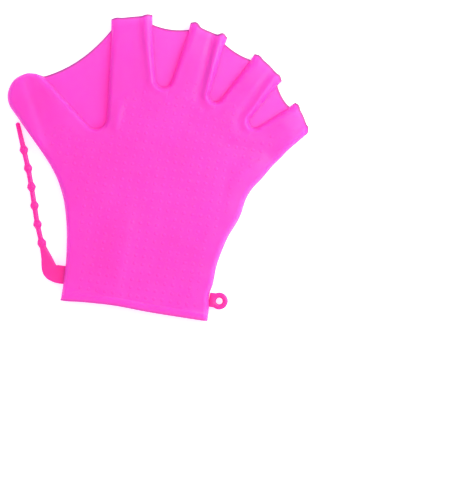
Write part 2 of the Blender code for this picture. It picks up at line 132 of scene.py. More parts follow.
# Tube and mouth, as shares of the way from the crotches to the finger ends
FINGER_ROWS = np.concatenate([np.linspace(0.02, 0.83, 27), 1 - crowded(0.15, 12)[::-1]])
ACROSS_FINGER = np.concatenate([
    crowded(0.25, 10), np.linspace(0.25, 0.75, 13)[1:-1], 1 - crowded(0.25, 10)[::-1],
])
ACROSS_WEB = (1 - np.cos(np.linspace(0, math.pi, 16)[1:-1])) / 2

CROTCH_ROW = len(PALM_ROWS) - 1
LAST_ROW = CROTCH_ROW + len(FINGER_ROWS)
STATION = np.concatenate([PALM_ROWS, 1 + FINGER_ROWS])[:, None]
BLOCK = len(ACROSS_FINGER) + len(ACROSS_WEB)
SPANS = [(k * BLOCK, k * BLOCK + len(ACROSS_FINGER) - 1) for k in range(len(FINGERS))]
COLUMNS = SPANS[-1][1] + 1
print(LAST_ROW + 1, "rows and", COLUMNS, "columns")

# %% [markdown]
# The two sides of the glove are smooth curves through given points. A Catmull-Rom curve
# passes through every one of its points, so it can be drawn straight from measurements.

# %% Curves in plan
def smooth_path(points):
    """Catmull-Rom: between two points, a cubic blend of them and of their neighbours."""
    p = np.asarray(points, dtype=float)
    ends = np.vstack([2 * p[0] - p[1], p, 2 * p[-1] - p[-2]])
    a, b, c, d = (ends[k : k + len(p) - 1, None] for k in range(4))
    t = (np.arange(STEPS) / STEPS)[None, :, None]
    cubic = 2 * b + (c - a) * t + (2 * a - 5 * b + 4 * c - d) * t**2
    cubic = cubic + (3 * b - a - 3 * c + d) * t**3
    return np.vstack([cubic.reshape(-1, p.shape[1]) / 2, p[-1:]])


def along(path, shares):
    """Points at shares of a path's length, read off against its running length."""
    run = np.concatenate([[0], np.cumsum(np.linalg.norm(np.diff(path, axis=0), axis=1))])
    at = np.asarray(shares) * run[-1]
    return np.stack([np.interp(at, run, path[:, k]) for k in range(path.shape[1])], axis=-1)


def unit(vectors):
    """Each vector divided by its length."""
    return vectors / np.linalg.norm(vectors, axis=-1, keepdims=True)


def leaning(degrees):
    """The direction (sin a, cos a), which leans by a from +Y towards +X."""
    return np.array([math.sin(math.radians(degrees)), math.cos(math.radians(degrees))])


def turned_left(vectors):
    """(x, y) becomes (-y, x), a quarter turn to the left."""
    return np.stack([-vectors[..., 1], vectors[..., 0]], axis=-1)


def eased(t):
    """0 below 0, 1 above 1, and 3 t^2 - 2 t^3 between."""
    t = np.clip(t, 0, 1)
    return t * t * (3 - 2 * t)


def hump(t, middle, width):
    """A bell: exp(-((t - middle) / width)^2)."""
    return np.exp(-(((t - middle) / width) ** 2))


# %% [markdown]
# A web is a wedge with a round bottom. Its border is every point at one distance from a
# sharp wedge, so a larger distance gives the border of the hollow behind the wall, and
# the wall stays even all the way round.

# %% Webs and sides
def web_shape(web, inset):
    """Centre, radius, directions of the two flanks, and their normals into the fingers."""
    centre = np.array([web[0] * GLOVE_SPAN, web[1] * GLOVE_LENGTH])
    ahead = leaning(web[3]), leaning(web[4])
    away = turned_left(ahead[0]), -turned_left(ahead[1])
    return centre, web[2] * CROTCH_RADIUS + inset, ahead, away


def moved_in(path, inset, inward, last=None):
    """Each point moved by the inset along its normal, with a mitre at the last point."""
    normals = turned_left(unit(np.gradient(path, axis=0))) * inward
    normals[0] = (-inward, 0)
    if last is not None:
        normals[-1] = (normals[-1] + last) / (1 + normals[-1] @ last)
    return path + normals * inset


def sides(inset):
    """The thumb's side and the little finger's side of the glove, moved in by the inset."""
    scale = np.array([GLOVE_SPAN, GLOVE_LENGTH])
    thumb = smooth_path(np.vstack([[-CUFF_WIDTH / 2, 0], THUMB_SIDE * scale]))
    little = smooth_path(np.vstack([[CUFF_WIDTH / 2, 0], LITTLE_SIDE * scale]))
    away = web_shape(WEBS[0], 0)[3][0]
    return moved_in(thumb, inset, -1, last=away), moved_in(little, inset, 1)


thumb_side, little_side = sides(0)

# %% [markdown]
# The drawing has the middle of the cuff as its origin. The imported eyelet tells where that
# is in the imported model: its outer edge stands a known way out from the glove's side.

# %% Where the drawing sits
EYELET_POSITION = 0.0142  # its hole's centre, from the cuff's edge
EYELET_REACH = 0.0062  # its hole's centre, from the glove's side
EYELET_DIAMETER = 0.0112
EYELET_NECK = 0.0060
STRAP_POSITION = 0.0155
STRAP_WIDTH = 0.0120


def side_reach(path, y, width):
    """How far out a side of the glove reaches in a band around y, beside the cuff."""
    band = np.linspace(y - width / 2, y + width / 2, 9)
    reach = np.interp(band, path[: 6 * STEPS, 1], path[: 6 * STEPS, 0])
    return reach[np.abs(reach).argmax()]


eyelet_x = side_reach(little_side, EYELET_POSITION, EYELET_NECK) + EYELET_REACH
place = np.array([
    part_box("strap_eyelet")[1].x - EYELET_DIAMETER / 2 - eyelet_x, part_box("glove_shell")[0].y, 0,
])
print("middle of the cuff at", place)

# %% [markdown]
# Below the crotches each border of a finger is a Bezier curve that leaves the cuff
# straight and arrives along the finger. Above them it is the straight flank of the web.

# %% Borders of the fingers
HANDLE_UP, HANDLE_BACK = 0.30, 0.13  # handles of the curve, as shares of its chord


def palm_run(x, end, lean):
    """Bezier: (1-t)^3 a + 3 (1-t)^2 t b + 3 (1-t) t^2 c + t^3 d over the palm's rows."""
    t = PALM_ROWS[:, None]
    start = np.array([x, 0])
    length = np.linalg.norm(end - start)
    up, back = start + (0, HANDLE_UP * length), end - leaning(lean) * HANDLE_BACK * length
    cubic = (1 - t) ** 3 * start + 3 * (1 - t) ** 2 * t * up
    return cubic + 3 * (1 - t) * t**2 * back + t**3 * end


def finger_border(k, side, inset, thumb_path, little_path):
    """A finger's left (0) or right (1) border: a palm part, then a tube part."""
    if (k, side) == (0, 0):
        palm = along(thumb_path[: THUMB_ROOT * STEPS + 1], PALM_ROWS)
        tube = along(thumb_path[THUMB_ROOT * STEPS : THUMB_END * STEPS + 1], FINGER_ROWS)
    elif (k, side) == (len(WEBS), 1):
        palm = along(little_path[: LITTLE_ROOT * STEPS + 1], PALM_ROWS)
        tube = along(little_path[LITTLE_ROOT * STEPS :], FINGER_ROWS)
    else:
        web = WEBS[k - 1 + side]
        centre, radius, ahead, away = web_shape(web, inset)
        start = centre + away[1 - side] * radius
        x = list(FINGERS.values())[k][side] * CUFF_WIDTH + inset * (1 - 2 * side)
        palm = palm_run(x, start, web[4 - side])
        reach = ahead[1 - side] * web[6 - side] * GLOVE_LENGTH
        reach = thumb_path[-1] - start if k == 0 else reach
        tube = start + reach * FINGER_ROWS[:, None]
    return np.vstack([palm, tube])


thumb_border = finger_border(0, 0, 0, thumb_side, little_side)
print("the thumb's border ends at", (thumb_border[-1] * 1000).round(1), "mm")

# %% [markdown]
# A finger fills the space between its borders in straight shares. Its open end bulges,
# rises in two soft ears, widens a little and shows its lower lip, as a cut tube of soft
# silicone does when it lies flat. A web hangs between two fingers from its round bottom
# to its sagging free edge, and the edge of the cuff waves a little.

# %% Plan of the skin
END_WAVE = 0.0019
EARS = ((0.13, 0.09), (0.88, 0.08))  # middle and half width, as shares of the finger's width
END_FLARE = 0.0008  # how far an open end widens on each side
LOWER_LIP = 0.0006  # how far the back of a finger reaches past its palm side
MOUTH_SHARE = 0.16  # share of the tube that opens
# Height, middle and half width of each wave in the cuff's edge; the last two are shares
CUFF_WAVES = ((-0.0011, 0.02, 0.10), (0.0009, 0.37, 0.17))
CUFF_BEND = 0.03  # how far up the glove the waves reach
WEB_BLEND = 2.5  # how far below a web the palm's columns feel it, in web radii


def finger_block(k, left, right, thumb_path):
    """(1-f) left + f right, plus row^2 times how far the finger's end leaves its chord."""
    f = ACROSS_FINGER[:, None]
    _, _, bulge, _, wave = list(FINGERS.values())[k]
    chord = (1 - f) * left[-1] + f * right[-1]
    axis = unit(left[-1] + right[-1] - left[CROTCH_ROW] - right[CROTCH_ROW])
    ears = sum(hump(f, middle, width) for middle, width in EARS)
    end = chord + axis * (bulge * GLOVE_LENGTH * 4 * f * (1 - f) + END_WAVE * wave * ears)
    if k == 0:
        end = along(thumb_path[THUMB_END * STEPS :], ACROSS_FINGER)
    rows = np.concatenate([np.zeros(len(PALM_ROWS)), FINGER_ROWS])[:, None, None]
    return (1 - f) * left[:, None] + f * right[:, None] + rows**2 * (end - chord)


def open_mouths(borders):
    """Flare: out from a finger's middle line. Lip: back along it, most in the middle."""
    flare, lip = [], []
    sheet = np.zeros((len(ACROSS_WEB), 2))
    f = ACROSS_FINGER[:, None]
    for k, (left, right) in enumerate(borders):
        axis = unit(left[-1] + right[-1] - left[CROTCH_ROW] - right[CROTCH_ROW]) * (k > 0)
        flare += [turned_left(axis) * (1 - 2 * f), sheet]
        lip += [-axis * np.sqrt(4 * f * (1 - f)), sheet]
    near = eased((STATION - 2 + MOUTH_SHARE) / MOUTH_SHARE)[..., None]
    flare, lip = (np.concatenate(parts[:-1]) for parts in (flare, lip))
    return END_FLARE * near * flare, LOWER_LIP * near * lip


def web_block(k, first, second, inset):
    """Palm: a blend of the borders that bends to the round bottom. Sheet: foot to edge."""
    web = WEBS[k]
    centre, radius, ahead, away = web_shape(web, inset)
    g = ACROSS_WEB[:, None]
    turn = math.atan2(away[0][1], away[0][0]) + g * (math.pi - math.radians(web[4] - web[3]))
    foot = centre + radius * np.hstack([np.cos(turn), np.sin(turn)])
    corner = [centre + away[s] * radius + ahead[s] * web[7 + s] * GLOVE_LENGTH for s in (0, 1)]
    sag = unit(ahead[0] + ahead[1]) * web[9] * GLOVE_LENGTH
    edge = (1 - g) * corner[0] + g * corner[1] - sag * 4 * g * (1 - g)
    base = (1 - g) * first[: CROTCH_ROW + 1, None] + g * second[: CROTCH_ROW + 1, None]
    below = np.linalg.norm(first[: CROTCH_ROW + 1] - first[CROTCH_ROW], axis=1)
    palm = base + (foot - base[-1]) * np.exp(-below / (WEB_BLEND * radius))[:, None, None]
    return np.concatenate([palm, foot + (edge - foot) * FINGER_ROWS[:, None, None]])


def skin_plan(inset):
    """Places of all rows and columns in plan (rows x columns x 2), sides and open ends."""
    paths = sides(inset)
    borders = [
        [finger_border(k, side, inset, *paths) for side in (0, 1)] for k in range(len(FINGERS))
    ]
    blocks = []
    for k, (left, right) in enumerate(borders):
        blocks.append(finger_block(k, left, right, paths[0]))
        if k < len(WEBS):
            blocks.append(web_block(k, right, borders[k + 1][0], inset))
    plan = np.concatenate(blocks, axis=1)
    across = plan[..., 0] / CUFF_WIDTH + 0.5
    wave = sum(height * hump(across, middle, width) for height, middle, width in CUFF_WAVES)
    plan[..., 1] += wave * (1 - eased(plan[..., 1] / CUFF_BEND))
    return plan, paths, open_mouths(borders)


outer_plan, outer_sides, (outer_flare, outer_lip) = skin_plan(0)
print("span", round(np.ptp(outer_plan[..., 0]) * 1000, 1), "mm, length",
      round(np.ptp(outer_plan[..., 1]) * 1000, 1), "mm")

# %% [markdown]
# Heights come from distances. Away from an edge the skin stands at its full height, and
# near one it rolls over in a quarter circle. A moulded web meets its fingers the same
# way, so one distance rule shapes the fingers, the palm and the folds between them.

# %% Distances to the edges
def to_path(points, path):
    """Distance to a polyline: the least distance to any of its straight pieces."""
    start, run = path[:-1], np.diff(path, axis=0)
    t = np.einsum("...sk,sk->...s", points[..., None, :] - start, run) / (run**2).sum(1)
    nearest = start + np.clip(t, 0, 1)[..., None] * run
    return np.linalg.norm(points[..., None, :] - nearest, axis=-1).min(axis=-1)


def into_web(points, web, inset):
    """How far inside a web's border: its radius less the distance to the sharp wedge."""
    centre, radius, ahead, away = web_shape(web, inset)
    off = points - centre
    rays = [np.maximum(off @ d, 0)[..., None] * d for d in ahead]
    gap = np.minimum(*(np.linalg.norm(off - ray, axis=-1) for ray in rays))
    inside = (off @ away[0] <= 0) & (off @ away[1] <= 0)
    return radius + np.where(inside, gap, -gap)


def to_web(points, inset):
    """Distance to the border of the nearest web, and 0 inside it."""
    return np.min([np.maximum(-into_web(points, web, inset), 0) for web in WEBS], axis=0)


def quarter_round(distance, radius):
    """Rises from 0 to 1 over the radius: sqrt(1 - (1 - t)^2)."""
    return np.sqrt(1 - (1 - np.clip(distance / radius, 0, 1)) ** 2)


print("palm's middle is", round(float(to_path(np.array([[0, 0.08]]), thumb_side)[0]) * 1000),
      "mm from the thumb's side")

# %% [markdown]
# Soft silicone never lies quite flat. Each open finger has a shallow flute, a raised roll
# with a valley behind it runs around each web, the cuff ends in a thin bead, and a few soft
# folds cross the glove where it was creased. A fold is a bell across a short straight line.

# %% Sizes of the relief
FLUTE_DEPTH = 0.0017
FLUTE_MIDDLE, FLUTE_LEFT, FLUTE_RIGHT = 0.68, 0.40, 0.16  # shares of the finger's width
FLUTE_START, FLUTE_FADE = 0.82, 0.22  # where it begins, as shares of the way to the crotches
HEM_HEIGHT, HEM_WIDTH = 0.0006, 0.0044
ROLL_HEIGHT, ROLL_REACH = 0.0015, 0.0026
ROLL_INSIDE, ROLL_OUTSIDE = 0.0013, 0.0021  # half widths towards the web and away from it
VALLEY_DEPTH, VALLEY_REACH, VALLEY_WIDTH = 0.0007, 0.0072, 0.0030
ROLL_GROWTH = 0.0018  # how much wider the roll is at a finger's end
# How strong the roll is along the left and right border of each finger
ROLLS = ((0.0, 0.22), (0.25, 0.70), (0.30, 1.0), (0.35, 0.9), (0.40, 0.0))
# Ends of the line, which runs down the glove, half widths on its thumb's side and on its
# little finger's side, and height, all in millimetres
SOFT_FOLDS = (
    ((-29.0, 129.0), (-30.0, 117.0), 3.5, 2.4, 1.00),  # beside the thumb's web
    ((-14.0, 58.0), (-14.5, 14.0), 13.0, 7.0, 1.40),  # across the cuff
    ((47.0, 96.0), (46.0, 64.0), 4.5, 4.5, -0.45),  # along the little finger's side
    ((77.0, 112.5), (44.0, 117.5), 6.0, 6.0, -0.90),  # root of the little finger
    ((-90.0, 134.0), (-72.0, 99.0), 3.4, 9.0, -1.10),  # along the thumb
    ((4.0, 137.0), (22.0, 127.0), 8.0, 8.0, -0.30),  # below the middle finger
)
ARCH = (0.797, 0.297, -2.12)  # the parabola through the crotches, in shares of length and span
RIPPLE_HEIGHT = 0.00007
print(len(SOFT_FOLDS), "folds")


# %% Relief of the palm side
def soft_folds(plan):
    """Sum of height * bell(distance across / half width) * bell(distance past an end)."""
    total = 0
    for a, b, left, right, height in SOFT_FOLDS:
        start, run = np.array(a) * 0.001, np.subtract(b, a) * 0.001
        t = (plan - start) @ run / (run @ run)
        across = (plan - start) @ turned_left(run) / np.linalg.norm(run)
        past = (np.abs(t - 0.5) - 0.5).clip(0) * np.linalg.norm(run)
        width = np.where(across > 0, right, left) * 0.001
        fade = hump(past, 0, 0.0005 * (left + right))
        total = total + height * 0.001 * hump(across, 0, width) * fade
    return total


def palm_share(plan):
    """Height in plan over that of a parabola through the crotches: 0 at the cuff, 1 there."""
    x = plan[..., 0] / GLOVE_SPAN
    arch = ARCH[0] + ARCH[1] * x + ARCH[2] * x**2
    return plan[..., 1] / GLOVE_LENGTH / np.maximum(arch, 0.1)


def ripple(plan):
    """Three crossing sine waves, 20 to 45 mm long and a tenth of a millimetre high."""
    x, y = plan[..., 0] * 1000, plan[..., 1] * 1000
    waves = np.sin(x / 6.1 + y / 9.7) + np.sin(x / 4.3 - y / 5.2 + 1.3) + np.sin(y / 3.6 + 0.4)
    return RIPPLE_HEIGHT * waves


def column_values(left, right, web_left, web_right):
    """One value per column: eased across each finger, and straight across each web."""
    f = eased((ACROSS_FINGER - 0.3) / 0.4)
    parts = []
    for k in range(len(FINGERS)):
        parts += [left[k] + (right[k] - left[k]) * f]
        if k < len(WEBS):
            parts += [web_left[k] + (web_right[k] - web_left[k]) * ACROSS_WEB]
    return np.concatenate(parts)


def relief(plan, web_distance, inset):
    """Flutes, rolls, folds and ripples, in metres above the plain skin."""
    column = np.r_[ACROSS_FINGER, np.full(len(ACROSS_WEB), 0.5)]
    f = np.tile(column, len(FINGERS))[:COLUMNS]
    flutes = [finger[3] for finger in FINGERS.values()]
    flute = column_values(flutes, flutes, [0] * 4, [0] * 4)
    lefts, rights = zip(*ROLLS)
    strength = column_values(lefts, rights, rights, lefts[1:])
    growth = ROLL_GROWTH * eased((STATION - 1) / 0.9)
    reach = web_distance + inset - ROLL_REACH - growth
    inside = hump(reach, 0, ROLL_INSIDE + 0.6 * growth)
    roll = np.where(reach < 0, inside, hump(reach, 0, ROLL_OUTSIDE))
    valley = hump(reach, VALLEY_REACH - ROLL_REACH, VALLEY_WIDTH)
    roll = strength * (ROLL_HEIGHT * roll - VALLEY_DEPTH * strength * valley)
    width = np.where(f < FLUTE_MIDDLE, FLUTE_LEFT, FLUTE_RIGHT)
    start = eased((palm_share(plan) - FLUTE_START) / FLUTE_FADE)
    flute = FLUTE_DEPTH * flute * hump(f, FLUTE_MIDDLE, width) * start
    return roll - flute + soft_folds(plan) + ripple(plan)


crotch = np.array(WEBS[1][:2]) * (GLOVE_SPAN, GLOVE_LENGTH)
print("palm's share at the middle web:", round(float(palm_share(crotch)), 2))

# %% [markdown]
# In section the glove is a flat lens: it rolls over quickly at an edge, up to a shoulder,
# and then swells slowly to its crown. The crown rises from the cuff to the palm and falls
# again towards the fingers, and the open fingers are flatter at their ends. The back is
# nearly flat, because the glove lies on it.

# %% Heights of the skin
SIDE_ROUND = 0.0034  # outer radius of the quick roll at the glove's sides
WEB_ROUNDS = (0.0019, 0.0030, 0.0030, 0.0030, 0.0030)  # and at the webs, for each finger
# Share of the height at the shoulder: at webs, by the thumb, by the little finger
WEB_SHOULDER, SIDE_SHOULDERS = 0.84, (0.94, 0.80)
WEB_SWELL, PALM_SWELL, FINGER_SWELL = 0.009, 0.014, 0.008
MOUTH_DROP = 0.0018  # how much flatter the open fingers are at their ends
OPEN_COLUMNS = np.arange(COLUMNS) >= BLOCK  # all but the thumb's and its web's
PALM_FULL, FINGERS_FROM, SWELL_FROM = 0.45, 0.5, 0.6  # shares of the way to the crotches
MOUTH_FROM = 1.45  # station at which the open fingers begin to flatten
EDGE_LENGTH, EDGE_RADIUS, EDGE_TRIM = 0.045, 0.0009, 0.00035  # rounding of the free edges
THIN_EDGE = 0.3  # what is left of a web's thickness at its free edge
HEM_RADIUS, HEM_FADE, TRIM_FADE = 0.0008, 0.0011, 0.002


def lens(distance, radius, shoulder, swell, inset):
    """shoulder * quarter_round(d, radius) + (1 - shoulder) * eased(d / swell)."""
    quick = quarter_round(distance, radius - inset)
    return shoulder * quick + (1 - shoulder) * eased((distance + inset * quick) / swell)


def skin_heights(plan, paths, inset):
    """seam + half thickness + (crown + relief - inset - low) * lens(distance to an edge)."""
    web_distance = to_web(plan, inset)
    side_distance = np.minimum(*(to_path(plan, path) for path in paths))
    share = palm_share(plan)
    crown = CUFF_HEIGHT + (PALM_HEIGHT - CUFF_HEIGHT) * eased(share / PALM_FULL)
    crown = crown + (FINGER_HEIGHT - crown) * eased((share - FINGERS_FROM) / (1 - FINGERS_FROM))
    flat = eased((STATION - MOUTH_FROM) / (2 - MOUTH_FROM))
    crown = crown - MOUTH_DROP * OPEN_COLUMNS * flat

    web_share = side_distance / (side_distance + web_distance + 1e-9)
    lip = quarter_round(np.maximum(2 - STATION, 0) * EDGE_LENGTH, EDGE_RADIUS)
    sheet = (WEB_THICKNESS - PARTING_LINE) * web_share * (THIN_EDGE + (1 - THIN_EDGE) * lip)
    half = (PARTING_LINE + sheet) / 2 * (inset == 0)
    up = np.maximum(plan[..., 1] - plan[:1, :, 1], 0)
    hem = HEM_HEIGHT * quarter_round(up, HEM_RADIUS) * (1 - eased((up - HEM_WIDTH) / HEM_FADE))
    trim = (hem - EDGE_TRIM * (1 - lip)) * (inset == 0)

    fingers = eased((share - SWELL_FROM) / (1 - SWELL_FROM))
    swell = PALM_SWELL + (FINGER_SWELL - PALM_SWELL) * fingers
    web_round = column_values(*[WEB_ROUNDS] * 3, WEB_ROUNDS[1:])
    rise = np.minimum.reduce([
        lens(web_distance, web_round, WEB_SHOULDER, WEB_SWELL, inset),
        *(lens(to_path(plan, path), SIDE_ROUND, shoulder, swell, inset)
          for path, shoulder in zip(paths, SIDE_SHOULDERS)),
    ])
    low, under = SEAM_HEIGHT + half, SEAM_HEIGHT - half
    edge = np.minimum(web_distance, side_distance)
    top = low + (crown + relief(plan, web_distance, inset) - inset - low) * rise
    top = top + trim * quarter_round(edge, TRIM_FADE)
    bottom = under + (inset - under) * quarter_round(edge, UNDER_RADIUS + WALL - inset)
    return top, bottom


outer_top, outer_bottom = skin_heights(outer_plan, outer_sides, 0)
print("highest point", round(outer_top.max() * 1000, 2), "mm")

# %% [markdown]
# The glove's skin is one closed surface: an outer palm side and back, the same two inside
# the hollow, and narrow rims at the cuff and at the four open finger ends. All corners
# come from four grids, so every face is a slice of an array of their numbers.

# %% Faces between the grids
def cells(grid):
    """The four corners of every cell, counter-clockwise as seen from above."""
    return np.stack([grid[:-1, :-1], grid[:-1, 1:], grid[1:, 1:], grid[1:, :-1]], axis=-1)


def strip(first, second):
    """Faces between two rows of corners."""
    return np.stack([first[:-1], first[1:], second[1:], second[:-1]], axis=-1)


def skin_faces():
    """Outer and inner sheets, sides, rims and the four-cornered ends of the rims."""
    top, bottom, inner_top, inner_bottom = np.arange(4 * (LAST_ROW + 1) * COLUMNS).reshape(
        4, LAST_ROW + 1, COLUMNS
    )
    hollow = np.zeros((LAST_ROW, COLUMNS - 1), dtype=bool)
    hollow[:CROTCH_ROW] = True
    closed_end = np.ones(COLUMNS - 1, dtype=bool)
    for k, (a, b) in enumerate(SPANS):
        hollow[:, a:b] = True
        closed_end[a:b] = k == 0
    faces = [cells(top).reshape(-1, 4), cells(bottom).reshape(-1, 4)[:, ::-1]]
    faces += [cells(inner_top)[hollow][:, ::-1], cells(inner_bottom)[hollow]]
    faces += [strip(top[:, 0], bottom[:, 0]), strip(bottom[:, -1], top[:, -1])]
    faces += [strip(inner_top[0], top[0]), strip(bottom[0], inner_bottom[0])]
    open_end = ~closed_end
    faces += [strip(top[-1], bottom[-1])[closed_end], strip(top[-1], inner_top[-1])[open_end]]
    faces += [strip(inner_bottom[-1], bottom[-1])[open_end]]
    rim_ends = [(0, 0), (0, COLUMNS - 1)] + [(LAST_ROW, j) for span in SPANS[1:] for j in span]
    sheets = (top, bottom, inner_bottom, inner_top)
    faces += [np.array([[sheet[i, j] for sheet in sheets]]) for i, j in rim_ends]
    return np.concatenate(faces)


glove_faces = skin_faces()
print(len(glove_faces), "faces before the closed edges are merged")

# %% [markdown]
# The hollow repeats the outside a wall's thickness further in. Its two sheets meet at the
# height of the parting line along the sides, around the webs and at the thumb's tip.

# %% Heights of the hollow
def hollow_heights(plan, paths):
    """The hollow's two heights, set to the parting line wherever the hollow is closed."""
    top, bottom = skin_heights(plan, paths, WALL)
    shut = np.zeros(top.shape, dtype=bool)
    shut[:, 0] = shut[:, -1] = True
    for k, (a, b) in enumerate(SPANS):
        shut[CROTCH_ROW:, [a, b]] = True
        if k < len(WEBS):
            shut[CROTCH_ROW:, b : b + len(ACROSS_WEB) + 2] = True
    shut[-1, : len(ACROSS_FINGER)] = True
    return np.where(shut, SEAM_HEIGHT, top), np.where(shut, SEAM_HEIGHT, bottom)


inner_plan, inner_sides, (inner_flare, inner_lip) = skin_plan(WALL)
inner_top, inner_bottom = hollow_heights(inner_plan, inner_sides)
print("hollow up to", round(inner_top.max() * 1000, 2), "mm")

# %% [markdown]
# Thin silicone lets light through and looks paler, so the webs are lighter than the palm;
# part of their pale colour is painted light that lifts the shade between the finger tubes.
# The open ends and a narrow band along the sides and ends are painted light as well, and
# the rims take painted shade, a deep outline along the glove's edges. All of it is stored
# in one attribute of the skin, which the material reads: 1 is thin or painted lighter, -1
# is a rim with painted shade.

# %% Thin sheets, painted light, and painted shade on the rims
# The webs' pale colour is partly their thin silicone and partly painted light.
WEB_THINNESS_AND_LIGHT = (0.35, 0.85, 0.90, 1.0)  # the sheets grow thinner towards the little finger
WEB_START = 0.04  # how soon above the crotch a web is thin, as a share of the finger
# Painted shade: the rims at the cuff, the sides and the finger ends are made deeper.
RIM_WIDTH, RIM_FADE = 0.0009, 0.0011
SIDE_SHADE, CUFF_SHADE = 0.40, 0.60  # how strongly the rims there are shaded
# Painted light over the open ends and in a narrow band along the sides and ends.
MOUTH_PAINTED_LIGHT, MOUTH_FADE = 1.0, 0.0065
EDGE_PAINTED_LIGHT, EDGE_FADE = 0.45, 0.0030


def painted_light_and_thinness(plan, paths):
    """1 where the silicone is thin and pale or painted lighter, -1 on the rims, painted shade."""
    sheet = column_values([0] * 5, [0] * 5, WEB_THINNESS_AND_LIGHT, WEB_THINNESS_AND_LIGHT)
    sheet = sheet * eased((STATION - 1) / WEB_START)
    side = np.minimum(*(to_path(plan, path) for path in paths))
    end = np.linalg.norm(plan - plan[-1:], axis=-1)
    # Painted light: lighter over the open ends and in a band along the sides and ends.
    light = np.maximum(
        EDGE_PAINTED_LIGHT * (1 - eased((np.minimum(side, end) - RIM_WIDTH) / EDGE_FADE)),
        MOUTH_PAINTED_LIGHT * OPEN_COLUMNS * (1 - eased(end / MOUTH_FADE)),
    )
    # Painted shade: the rims at the cuff, the sides and the ends are made deeper.
    cuff = plan[..., 1] - plan[:1, :, 1]
    end_shade = np.where(np.arange(COLUMNS) > SPANS[0][1], 1, SIDE_SHADE)
    rim = np.max([
        strength * (1 - eased((distance - RIM_WIDTH) / RIM_FADE))
        for distance, strength in ((end, end_shade), (side, SIDE_SHADE), (cuff, CUFF_SHADE))
    ], axis=0)
    return np.maximum(sheet, light) * (1 - rim) - rim


outer_light_and_shade = painted_light_and_thinness(outer_plan, outer_sides).ravel()
inner_light_and_shade = painted_light_and_thinness(inner_plan, inner_sides).ravel()
print("rim corners:", int((outer_light_and_shade < -0.5).sum()))

# %% [markdown]
# Each piece becomes a mesh in the same way. Corners that coincide are merged, as where the
# hollow closes, all normals are turned outwards, and only sharp edges stay crisp. For the
# skin the four grids are stacked in the order that the faces count on.

# %% A closed mesh from arrays
def placed(name, data):
    """A new object of the scene that holds this mesh, lamp or camera."""
    made = bpy.data.objects.new(name, data)
    bpy.context.scene.collection.objects.link(made)
    return made


def new_piece(name, corners, faces, merge=True, crisp=50, look=None):
    """Corners in metres and lists of their numbers become a smooth, closed mesh object."""
    mesh = bpy.data.meshes.new(name)
    mesh.from_pydata(np.asarray(corners, dtype=float), [], faces)
    # look holds the skin's painted light and painted shade, stored as an attribute.
    if look is not None:
        stored = mesh.attributes.new("painted_light_and_thinness", "FLOAT", "POINT")
        stored.data.foreach_set("value", look.astype(np.float32))
    bm = bmesh.new()
    bm.from_mesh(mesh)
    if merge:
        loose = [v for v in bm.verts if not v.link_faces]
        bmesh.ops.delete(bm, geom=loose, context="VERTS")
        bmesh.ops.remove_doubles(bm, verts=bm.verts, dist=1e-6)
    bmesh.ops.recalc_face_normals(bm, faces=bm.faces)
    bm.to_mesh(mesh)
    volume = bm.calc_volume(signed=True)
    bm.free()
    mesh.shade_smooth()
    mesh.set_sharp_from_angle(angle=math.radians(crisp))
    piece = placed(name, mesh)
    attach(piece, "root")
    print(name, len(mesh.polygons), "faces,", round(volume * 1e6, 2), "cm3")
    return piece


# %% Make the glove's skin
grids = (
    (outer_plan + outer_flare + outer_lip, outer_top), (outer_plan + outer_flare, outer_bottom),
    (inner_plan + inner_flare + inner_lip, inner_top), (inner_plan + inner_flare, inner_bottom),
)
glove_corners = np.concatenate([
    np.dstack([plan, height]).reshape(-1, 3) for plan, height in grids
]) + place
lights_and_shades = np.concatenate([outer_light_and_shade, outer_light_and_shade, inner_light_and_shade, inner_light_and_shade])
glove_skin = new_piece("glove_skin", glove_corners, glove_faces.tolist(), look=lights_and_shades)
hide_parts("glove_shell")

# %% [markdown]
# The palm side grips the water with rows of small round dots, moulded 5 mm apart. Rays
# dropped straight down find the skin under each dot. A dot is a low dome on an
# eight-sided ring, tilted with the skin, and it shrinks where the rows run out.

# %% Where the grip dots stand
DOT_SPACING = (0.00540, 0.00528)
DOT_START = (0.0012, 0.0092)  # a dot of the first row, from the middle of the cuff
DOT_RADIUS, DOT_HEIGHT = 0.00125, 0.00010
PLAIN_BAND = 0.00705  # left smooth along every edge
DOTS_PAST_WEBS = 0.009  # how far the rows run up into the fingers
BAND_FADE, TOP_FADE = 0.0025, 0.008  # over which the dots grow to their full size
SMALLEST_DOT = 0.35
ROWS_END = ((-0.42, 0.50), (0.42, 0.60))  # beside the thumb and beside the little finger

columns = np.arange(-20, 21) * DOT_SPACING[0] + DOT_START[0]
rows = np.arange(0, 34) * DOT_SPACING[1] + DOT_START[1]
lattice = np.stack(np.meshgrid(columns, rows), axis=-1).reshape(-1, 2)
web_gap = to_web(lattice, 0)
side_gap = np.minimum(to_path(lattice, thumb_side), to_path(lattice, little_side))
crotches = np.array([ROWS_END[0]] + [web[:2] for web in WEBS] + [ROWS_END[1]])
top_row = np.interp(lattice[:, 0], crotches[:, 0] * GLOVE_SPAN, crotches[:, 1] * GLOVE_LENGTH)
left = np.interp(lattice[:, 1], thumb_side[:, 1], thumb_side[:, 0])
right = np.interp(lattice[:, 1], little_side[:, 1], little_side[:, 0])
inside = (lattice[:, 0] > left) & (lattice[:, 0] < right)
dot_size = (
    eased((np.minimum(web_gap, side_gap) - PLAIN_BAND) / BAND_FADE)
    * eased((top_row + DOTS_PAST_WEBS - lattice[:, 1]) / TOP_FADE) * inside
)
dot_places = lattice[dot_size > SMALLEST_DOT]
dot_size = dot_size[dot_size > SMALLEST_DOT]
print(len(dot_places), "dots")

# %% [markdown]
# Every dot is the same few rings of corners, so one array holds them all: dots x rings x
# sides. Its first ring is the flat crown and its last is sunk into the skin.

# %% Make the grip dots
DOT_SIDES = 8
